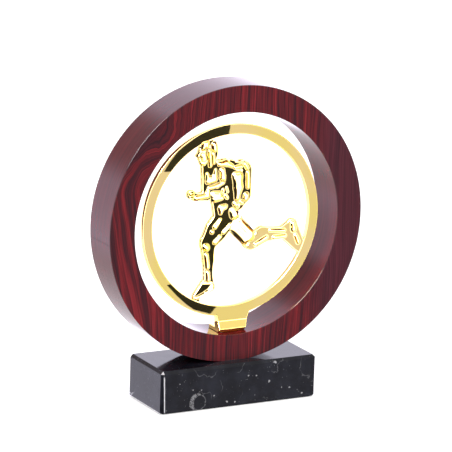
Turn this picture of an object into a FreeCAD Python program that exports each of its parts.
"""Athletics trophy: a wood ring on a marble base, with a gold runner medallion standing in the ring.

Frame: +Z up, -Y is the front, origin at the centre of the underside. Millimetres.
"""
import math
import os

import FreeCAD
import Part

V = FreeCAD.Vector

# ---------------------------------------------------------------- driving dimensions
# marble base and the felt under it
BASE_WIDTH = 99.0
BASE_DEPTH = 42.0
BASE_HEIGHT = 24.6
BASE_CHAMFER = 1.6           # top and upright edges
BASE_LOWER_CHAMFER = 0.5
FELT_THICKNESS = 0.6
FELT_INSET = 1.5             # from the marble's sides

# wood ring: fibreboard core wrapped in veneer
RING_RADIUS = 80.0           # over the outer band
RING_WALL = 15.5             # radial, bands included
RING_BOARD = 25.0            # thickness of the board
VENEER = 0.3                 # face veneers
BAND = 0.4                   # edge bands
VENEER_EASE = 0.25           # broken edge of the face veneers
RING_FLAT_DEPTH = 0.6        # flat milled under the ring, where it stands on the marble
BAND_JOINT_GAP = 0.15        # where the ends of a band meet
OUTER_JOINT_ANGLE = 184.0    # degrees from +X, anticlockwise seen from the front
INNER_JOINT_ANGLE = 270.0    # under the medallion's foot

# medallion casting: ring, runner and foot
MEDAL_GAP = 8.8              # between the wood ring's bore and the medallion
MEDAL_RIM = 6.0              # radial width of the rim
MEDAL_DEPTH = 3.0
MEDAL_CENTRE_Y = -3.6        # the medallion stands forward of the wood ring's middle
MEDAL_BEVEL = 0.8
PLATE_THICKNESS = 1.6        # flat web behind the runner's relief
PLATE_MARGIN = 0.9           # web standing out round the relief
RELIEF_SINK = 0.35           # share of a limb's radius that lies behind the web's front
NECK_TOP_CENTRE = 2.5        # the neck leans: its middle at the rim, at the crease and at the foot
NECK_CREASE_CENTRE = 2.6
FOOT_CENTRE_X = 0.7
NECK_TOP_HALF = 10.7
NECK_CREASE_HALF = 9.3
NECK_CREASE_RISE = 3.9       # crease above the foot
FOOT_HALF_WIDTH = 8.8
FOOT_FRONT_Y = -8.5
FOOT_BACK_Y = 4.4
FOOT_THICKNESS = 2.6         # above the wood, at the middle
FOOT_SEAT_CLEARANCE = 0.05

# fasteners
SCREW_CLEARANCE = 0.3        # radial, in a hole that a screw passes through
DRIVE_RADIUS_SHARE = 0.45    # hex recess of a head, as a share of its radius
DRIVE_DEPTH_SHARE = 0.6      # and as a share of its height

RING_SCREW_EDGE = 4.0        # from the board's faces to the screw's axis
RING_SCREW_RADIUS = 2.0
RING_SCREW_BITE = 9.5        # into the wood ring
RING_SCREW_HEAD_RADIUS = 4.0
RING_SCREW_HEAD_HEIGHT = 2.6
WASHER_RADIUS = 5.2
WASHER_THICKNESS = 1.0
BASE_POCKET_RADIUS = 6.0
BASE_POCKET_DEPTH = 9.0

FOOT_SCREW_SPACING = 11.4    # left to right, under the medallion's foot
FOOT_SCREW_RADIUS = 1.5
FOOT_SCREW_BITE = 3.0        # into the foot
FOOT_SCREW_HEAD_RADIUS = 2.7
FOOT_SCREW_HEAD_HEIGHT = 1.8
FOOT_POCKET_RADIUS = 3.2
FOOT_POCKET_DEPTH = 4.0
TAPPED_SPARE = 0.5           # tapped hole beyond the screw's tip

# ---------------------------------------------------------------- levels that follow
BASE_TOP = FELT_THICKNESS + BASE_HEIGHT
RING_BORE_RADIUS = RING_RADIUS - RING_WALL
RING_DEPTH = RING_BOARD + 2 * VENEER
RING_CENTRE_Z = BASE_TOP + RING_RADIUS - RING_FLAT_DEPTH
RING_AXIS = V(0, 0, RING_CENTRE_Z)
MEDAL_RADIUS = RING_BORE_RADIUS - MEDAL_GAP
MEDAL_BORE = MEDAL_RADIUS - MEDAL_RIM
MEDAL_BACK_Y = MEDAL_CENTRE_Y + MEDAL_DEPTH / 2
MEDAL_FRONT_Y = MEDAL_CENTRE_Y - MEDAL_DEPTH / 2
PLATE_FRONT_Y = MEDAL_BACK_Y - PLATE_THICKNESS
SEAT_RADIUS = RING_BORE_RADIUS - FOOT_SEAT_CLEARANCE
FOOT_TOP = FOOT_THICKNESS - RING_BORE_RADIUS         # from the ring's centre
NECK_CREASE = FOOT_TOP + NECK_CREASE_RISE
NECK_ROOT = -MEDAL_BORE - MEDAL_RIM / 2              # inside the rim, trimmed to it


def disc(radius, y_from, y_to, z=RING_CENTRE_Z):
    """Solid cylinder along +Y about the ring's axis."""
    return Part.makeCylinder(radius, y_to - y_from, V(0, y_from, z), V(0, 1, 0))


def upright(radius, x, y, z_from, z_to):
    return Part.makeCylinder(radius, z_to - z_from, V(x, y, z_from), V(0, 0, 1))


def block(x_from, x_to, y_from, y_to, z_from, z_to):
    return Part.makeBox(x_to - x_from, y_to - y_from, z_to - z_from, V(x_from, y_from, z_from))


def ring_screw_places():
    out = RING_BOARD / 2 - RING_SCREW_EDGE
    return [(0, -out), (0, out)]


def foot_screw_places():
    y = (FOOT_FRONT_Y + MEDAL_BACK_Y) / 2
    return [(FOOT_CENTRE_X + side * FOOT_SCREW_SPACING / 2, y) for side in (-1, 1)]


# ---------------------------------------------------------------- base
def marble_base():
    half_w, half_d = BASE_WIDTH / 2, BASE_DEPTH / 2
    body = block(-half_w, half_w, -half_d, half_d, FELT_THICKNESS, BASE_TOP)

    def underside(edge):
        return all(abs(v.Z - FELT_THICKNESS) < 1e-6 for v in edge.Vertexes)

    body = body.makeChamfer(BASE_CHAMFER, [e for e in body.Edges if not underside(e)])
    body = body.makeChamfer(BASE_LOWER_CHAMFER, [e for e in body.Edges if underside(e)])
    pocket_top = FELT_THICKNESS + BASE_POCKET_DEPTH
    for x, y in ring_screw_places():
        body = body.cut(upright(BASE_POCKET_RADIUS, x, y, 0, pocket_top))
        body = body.cut(upright(RING_SCREW_RADIUS + SCREW_CLEARANCE, x, y, 0, BASE_TOP + 1))
    return body


def base_felt():
    half_w, half_d = BASE_WIDTH / 2 - FELT_INSET, BASE_DEPTH / 2 - FELT_INSET
    sheet = block(-half_w, half_w, -half_d, half_d, 0, FELT_THICKNESS)
    corners = [e for e in sheet.Edges if abs(e.Vertexes[0].Z - e.Vertexes[1].Z) > 1e-6]
    return sheet.makeFillet(FELT_INSET, corners)


# ---------------------------------------------------------------- wood ring
def above_flat(shape):
    """Removes what the milled flat takes off the bottom of the ring."""
    reach = 2 * RING_RADIUS
    return shape.cut(block(-reach, reach, -reach, reach, BASE_TOP - reach, BASE_TOP))


def ring_core():
    half = RING_BOARD / 2
    body = disc(RING_RADIUS - BAND, -half, half).cut(disc(RING_BORE_RADIUS + BAND, -half - 1, half + 1))
    body = above_flat(body)
    for x, y in ring_screw_places():
        body = body.cut(upright(RING_SCREW_RADIUS, x, y, BASE_TOP - 1, BASE_TOP + RING_SCREW_BITE + TAPPED_SPARE))
    for x, y in foot_screw_places():
        body = body.cut(upright(FOOT_POCKET_RADIUS, x, y, BASE_TOP - 1, BASE_TOP + FOOT_POCKET_DEPTH))
        through = upright(FOOT_SCREW_RADIUS + SCREW_CLEARANCE, x, y, BASE_TOP, RING_CENTRE_Z)
        body = body.cut(through)
    return body


def face_veneer(side):
    """Flat ring of veneer on the front (-1) or back (+1) of the board."""
    inner, outer = RING_BOARD / 2, RING_DEPTH / 2
    skin = disc(RING_RADIUS, inner, outer).cut(disc(RING_BORE_RADIUS, inner - 1, outer + 1))
    rims = [e for e in skin.Edges if abs(e.BoundBox.YMin - outer) < 1e-6 and abs(e.BoundBox.YMax - outer) < 1e-6]
    skin = skin.makeChamfer(VENEER_EASE, rims)
    if side < 0:
        skin = skin.mirror(V(0, 0, 0), V(0, 1, 0))
    return above_flat(skin)


def edge_band(outer_radius, joint_angle):
    """Strip of veneer round the edge of the board, its ends meeting at joint_angle."""
    half = RING_BOARD / 2
    strip = disc(outer_radius, -half, half).cut(disc(outer_radius - BAND, -half - 1, half + 1))
    gap = block(outer_radius - 2 * BAND, outer_radius + BAND, -half - 1, half + 1,
                -BAND_JOINT_GAP / 2, BAND_JOINT_GAP / 2)
    gap.rotate(V(0, 0, 0), V(0, 1, 0), -joint_angle)
    gap.translate(RING_AXIS)
    return strip.cut(gap)


def outer_bands():
    """The outer band, parted by its joint and by the milled flat: long piece, then short piece."""
    pieces = above_flat(edge_band(RING_RADIUS, OUTER_JOINT_ANGLE)).Solids
    return sorted(pieces, key=lambda piece: -piece.Volume)


def inner_band():
    strip = edge_band(RING_BORE_RADIUS + BAND, INNER_JOINT_ANGLE)
    for x, y in foot_screw_places():
        strip = strip.cut(upright(FOOT_SCREW_RADIUS + SCREW_CLEARANCE, x, y, BASE_TOP, RING_CENTRE_Z))
    return strip


# ---------------------------------------------------------------- fasteners
def screw(x, y, seat, radius, length, head_radius, head_height):
    """Screw with its head below the seat and its shank above it; hex recess in the head."""
    body = upright(head_radius, x, y, seat - head_height, seat)
    body = body.fuse(upright(radius, x, y, seat - head_height / 2, seat + length - radius))
    tip = Part.makeCone(radius, radius / 3, radius, V(x, y, seat + length - radius), V(0, 0, 1))
    body = body.fuse(tip)
    across = head_radius * DRIVE_RADIUS_SHARE
    corners = [V(x + across * math.cos(math.radians(60 * k)), y + across * math.sin(math.radians(60 * k)),
                 seat - head_height - 1) for k in range(7)]
    recess = Part.Face(Part.makePolygon(corners)).extrude(V(0, 0, 1 + head_height * DRIVE_DEPTH_SHARE))
    return body.cut(recess).removeSplitter()


def ring_screws():
    seat = FELT_THICKNESS + BASE_POCKET_DEPTH - WASHER_THICKNESS
    length = BASE_TOP + RING_SCREW_BITE - seat
    return [screw(x, y, seat, RING_SCREW_RADIUS, length, RING_SCREW_HEAD_RADIUS, RING_SCREW_HEAD_HEIGHT)
            for x, y in ring_screw_places()]


def ring_screw_washers():
    top = FELT_THICKNESS + BASE_POCKET_DEPTH
    bore = RING_SCREW_RADIUS + SCREW_CLEARANCE
    return [upright(WASHER_RADIUS, x, y, top - WASHER_THICKNESS, top).cut(upright(bore, x, y, 0, top + 1))
            for x, y in ring_screw_places()]


def seat_height(x):
    """Level of the wood ring's bore under the medallion's foot."""
    return RING_CENTRE_Z - math.sqrt(RING_BORE_RADIUS ** 2 - x ** 2)


def foot_screws():
    seat = BASE_TOP + FOOT_POCKET_DEPTH
    return [screw(x, y, seat, FOOT_SCREW_RADIUS, seat_height(x) + FOOT_SCREW_BITE - seat,
                  FOOT_SCREW_HEAD_RADIUS, FOOT_SCREW_HEAD_HEIGHT)
            for x, y in foot_screw_places()]


# ---------------------------------------------------------------- medallion
def medallion_ring():
    """Rim with both front edges bevelled."""
    profile = [(MEDAL_BORE, MEDAL_BACK_Y), (MEDAL_RADIUS, MEDAL_BACK_Y),
               (MEDAL_RADIUS, MEDAL_FRONT_Y + MEDAL_BEVEL), (MEDAL_RADIUS - MEDAL_BEVEL, MEDAL_FRONT_Y),
               (MEDAL_BORE + MEDAL_BEVEL, MEDAL_FRONT_Y), (MEDAL_BORE, MEDAL_FRONT_Y + MEDAL_BEVEL)]
    loop = [V(r, y, RING_CENTRE_Z) for r, y in profile]
    return Part.Face(Part.makePolygon(loop + loop[:1])).revolve(RING_AXIS, V(0, 1, 0), 360)


def medallion_foot():
    """Saddle foot on the wood, and the neck that slopes back from its front edge and rises to the rim."""
    z = RING_CENTRE_Z
    foot = block(FOOT_CENTRE_X - FOOT_HALF_WIDTH, FOOT_CENTRE_X + FOOT_HALF_WIDTH,
                 FOOT_FRONT_Y, FOOT_BACK_Y, z - RING_BORE_RADIUS, z + FOOT_TOP)
    foot = foot.common(disc(SEAT_RADIUS, FOOT_FRONT_Y - 1, FOOT_BACK_Y + 1))
    side = [(FOOT_FRONT_Y, FOOT_TOP), (MEDAL_FRONT_Y, NECK_CREASE), (MEDAL_FRONT_Y, NECK_ROOT),
            (MEDAL_BACK_Y, NECK_ROOT), (MEDAL_BACK_Y, FOOT_TOP)]
    reach = 2 * MEDAL_RADIUS
    side_view = [V(-reach / 2, y, z + h) for y, h in side]
    neck = Part.Face(Part.makePolygon(side_view + side_view[:1])).extrude(V(reach, 0, 0))
    front = [(NECK_TOP_CENTRE, NECK_TOP_HALF, NECK_ROOT), (NECK_CREASE_CENTRE, NECK_CREASE_HALF, NECK_CREASE),
             (FOOT_CENTRE_X, FOOT_HALF_WIDTH, FOOT_TOP)]
    right = [V(middle + half, FOOT_FRONT_Y - 1, z + h) for middle, half, h in front]
    left = [V(middle - half, FOOT_FRONT_Y - 1, z + h) for middle, half, h in reversed(front)]
    outline = Part.Face(Part.makePolygon(right + left + right[:1])).extrude(V(0, reach, 0))
    body = foot.fuse(neck.common(outline)).cut(disc(MEDAL_RADIUS, FOOT_FRONT_Y - 1, FOOT_BACK_Y + 1))
    for x, y in foot_screw_places():
        tapped = seat_height(x) + FOOT_SCREW_BITE + TAPPED_SPARE
        body = body.cut(upright(FOOT_SCREW_RADIUS, x, y, BASE_TOP, tapped))
    return body.removeSplitter()


# The runner is drawn for a rim of this bore and scaled to the one it stands in. Places are
# (across, up) from the medallion's centre; it runs towards -X.
RUNNER_BORE = 49.7
HEAD = (-15.4, 39.6)
THROAT = (-14.2, 32.4)
CHEST = (-9.2, 24.6)
SHOULDER_BLADE = (-1.6, 27.2)
WAIST = (-3.2, 11.6)
PELVIS = (-1.8, 4.4)
FAR_SHOULDER = (-15.8, 27.6)
FAR_ELBOW = (-13.8, 15.2)
FAR_WRIST = (-22.6, 15.2)
FAR_FIST = (-27.0, 17.2)
NEAR_SHOULDER = (6.4, 29.6)
NEAR_ELBOW = (8.4, 14.2)
NEAR_FIST = (3.4, 8.8)
FRONT_HIP = (-4.0, 0.8)
FRONT_KNEE = (-13.7, -12.0)
FRONT_CALF = (-12.9, -20.5)
FRONT_ANKLE = (-12.5, -32.6)
FRONT_HEEL = (-9.8, -38.6)
FRONT_TOE = (-19.5, -44.2)
REAR_HIP = (1.6, 0.4)
REAR_KNEE = (14.0, -12.4)
REAR_CALF = (23.4, -10.5)
REAR_ANKLE = (35.0, -11.5)
REAR_HEEL = (39.1, -5.4)
REAR_TOE = (45.4, -17.2)

# each limb: from, radius, to, radius
LIMBS = [
    (HEAD, 5.9, THROAT, 3.4),
    (THROAT, 3.4, CHEST, 6.0),
    (CHEST, 7.6, WAIST, 6.6),
    (CHEST, 7.4, SHOULDER_BLADE, 6.4),
    (SHOULDER_BLADE, 6.2, WAIST, 6.0),
    (WAIST, 6.6, PELVIS, 6.8),
    (FAR_SHOULDER, 2.6, FAR_ELBOW, 2.6),
    (FAR_ELBOW, 2.5, FAR_WRIST, 1.5),
    (FAR_WRIST, 1.5, FAR_FIST, 2.2),
    (NEAR_SHOULDER, 4.8, NEAR_ELBOW, 3.2),
    (NEAR_ELBOW, 3.0, NEAR_FIST, 2.2),
    (FRONT_HIP, 5.6, FRONT_KNEE, 4.0),
    (FRONT_KNEE, 3.8, FRONT_CALF, 3.2),
    (FRONT_CALF, 3.2, FRONT_ANKLE, 2.2),
    (FRONT_ANKLE, 2.2, FRONT_HEEL, 2.0),
    (FRONT_HEEL, 2.0, FRONT_TOE, 1.3),
    (FRONT_ANKLE, 2.0, FRONT_TOE, 1.3),
    (REAR_HIP, 5.8, REAR_KNEE, 4.2),
    (REAR_KNEE, 4.1, REAR_CALF, 4.1),
    (REAR_CALF, 4.0, REAR_ANKLE, 2.7),
    (REAR_ANKLE, 2.5, REAR_HEEL, 1.8),
    (REAR_HEEL, 1.8, REAR_TOE, 2.2),
    (REAR_ANKLE, 2.5, REAR_TOE, 2.4),
]
# webs that carry the runner on the rim: from, radius, to, radius
TIES = [
    (HEAD, 4.6, (-16.6, 47.6), 5.0),
    (FRONT_TOE, 1.8, (-19.8, -47.4), 2.0),
    (REAR_TOE, 3.0, (48.4, -17.0), 4.0),
]


def scaled(part):
    """A limb or a tie, resized from the bore that it was drawn for."""
    share = MEDAL_BORE / RUNNER_BORE
    start, start_radius, end, end_radius = part
    return ((start[0] * share, start[1] * share), start_radius * share,
            (end[0] * share, end[1] * share), end_radius * share)


def tangent_points(start, start_radius, end, end_radius):
    """The four points where the two outer tangents touch two circles, and the middles of the end arcs."""
    dx, dz = end[0] - start[0], end[1] - start[1]
    length = math.hypot(dx, dz)
    along = math.atan2(dz, dx)
    lean = math.acos((start_radius - end_radius) / length)

    def on(centre, radius, angle):
        return (centre[0] + radius * math.cos(angle), centre[1] + radius * math.sin(angle))

    return [on(start, start_radius, along + lean), on(end, end_radius, along + lean),
            on(end, end_radius, along), on(end, end_radius, along - lean),
            on(start, start_radius, along - lean), on(start, start_radius, along + math.pi)]


def web(start, start_radius, end, end_radius):
    """Flat slot shape round two circles, as thick as the web."""
    a, b, b_mid, c, d, a_mid = [V(x, MEDAL_BACK_Y, RING_CENTRE_Z + z)
                                for x, z in tangent_points(start, start_radius, end, end_radius)]
    wire = Part.Wire([Part.LineSegment(a, b).toShape(), Part.Arc(b, b_mid, c).toShape(),
                      Part.LineSegment(c, d).toShape(), Part.Arc(d, a_mid, a).toShape()])
    return Part.Face(wire).extrude(V(0, -PLATE_THICKNESS, 0))


def limb(start, start_radius, end, end_radius):
    """Tapered limb with round ends, turned about its own axis."""
    length = math.hypot(end[0] - start[0], end[1] - start[1])
    cosine = (start_radius - end_radius) / length
    sine = math.sqrt(1 - cosine ** 2)

    def on(centre, radius, c, s):
        return V(centre + radius * c, 0, radius * s)

    half = math.sqrt((1 + cosine) / 2), math.sqrt((1 - cosine) / 2)
    near = Part.Arc(V(-start_radius, 0, 0), on(0, start_radius, -half[1], half[0]), on(0, start_radius, cosine, sine))
    far = Part.Arc(on(length, end_radius, cosine, sine), on(length, end_radius, half[0], half[1]),
                   V(length + end_radius, 0, 0))
    wall = Part.LineSegment(on(0, start_radius, cosine, sine), on(length, end_radius, cosine, sine))
    axis = Part.LineSegment(V(length + end_radius, 0, 0), V(-start_radius, 0, 0))
    face = Part.Face(Part.Wire([near.toShape(), wall.toShape(), far.toShape(), axis.toShape()]))
    body = face.revolve(V(0, 0, 0), V(1, 0, 0), 360)
    slope = math.degrees(math.atan2(end[1] - start[1], end[0] - start[0]))
    body.rotate(V(0, 0, 0), V(0, 1, 0), -slope)
    sink = RELIEF_SINK * min(start_radius, end_radius)
    body.translate(V(start[0], PLATE_FRONT_Y + sink, RING_CENTRE_Z + start[1]))
    return body


def runner_figure():
    limbs = [scaled(part) for part in LIMBS]
    webs = [web(a, ra + PLATE_MARGIN, b, rb + PLATE_MARGIN) for a, ra, b, rb in limbs]
    webs += [web(*scaled(tie)) for tie in TIES]
    flat = webs[0].multiFuse(webs[1:]).removeSplitter()
    rounds = [limb(*part) for part in limbs]
    reach = 2 * MEDAL_RADIUS
    ahead_of_back = block(-reach, reach, -reach, MEDAL_BACK_Y, RING_CENTRE_Z - reach, RING_CENTRE_Z + reach)
    relief = rounds[0].multiFuse(rounds[1:]).common(ahead_of_back)
    body = flat.fuse(relief).common(disc(MEDAL_BORE, -reach, reach))
    return body.removeSplitter()


# ---------------------------------------------------------------- export
NODES = {
    "marble_base": lambda: [marble_base()],
    "base_felt": lambda: [base_felt()],
    "ring_core": lambda: [ring_core()],
    "front_veneer": lambda: [face_veneer(-1)],
    "back_veneer": lambda: [face_veneer(1)],
    "outer_band_long": lambda: outer_bands()[:1],
    "outer_band_short": lambda: outer_bands()[1:],
    "inner_band": lambda: [inner_band()],
    "ring_screws": ring_screws,
    "ring_screw_washers": ring_screw_washers,
    "medallion_ring": lambda: [medallion_ring()],
    "runner_figure": lambda: [runner_figure()],
    "medallion_foot": lambda: [medallion_foot()],
    "foot_screws": foot_screws,
}

os.makedirs("parts", exist_ok=True)
for name, make in NODES.items():
    pieces = [solid for shape in make() for solid in shape.Solids]
    shape = pieces[0] if len(pieces) == 1 else Part.makeCompound(pieces)
    if not shape.isValid():
        raise RuntimeError(name + " is not valid")
    shape.exportStep("parts/" + name + ".step")
    box = shape.BoundBox
    print("%-20s %d solid(s) %9.1f mm3  x %.1f..%.1f y %.1f..%.1f z %.1f..%.1f" % (
        name, len(pieces), shape.Volume, box.XMin, box.XMax, box.YMin, box.YMax, box.ZMin, box.ZMax))
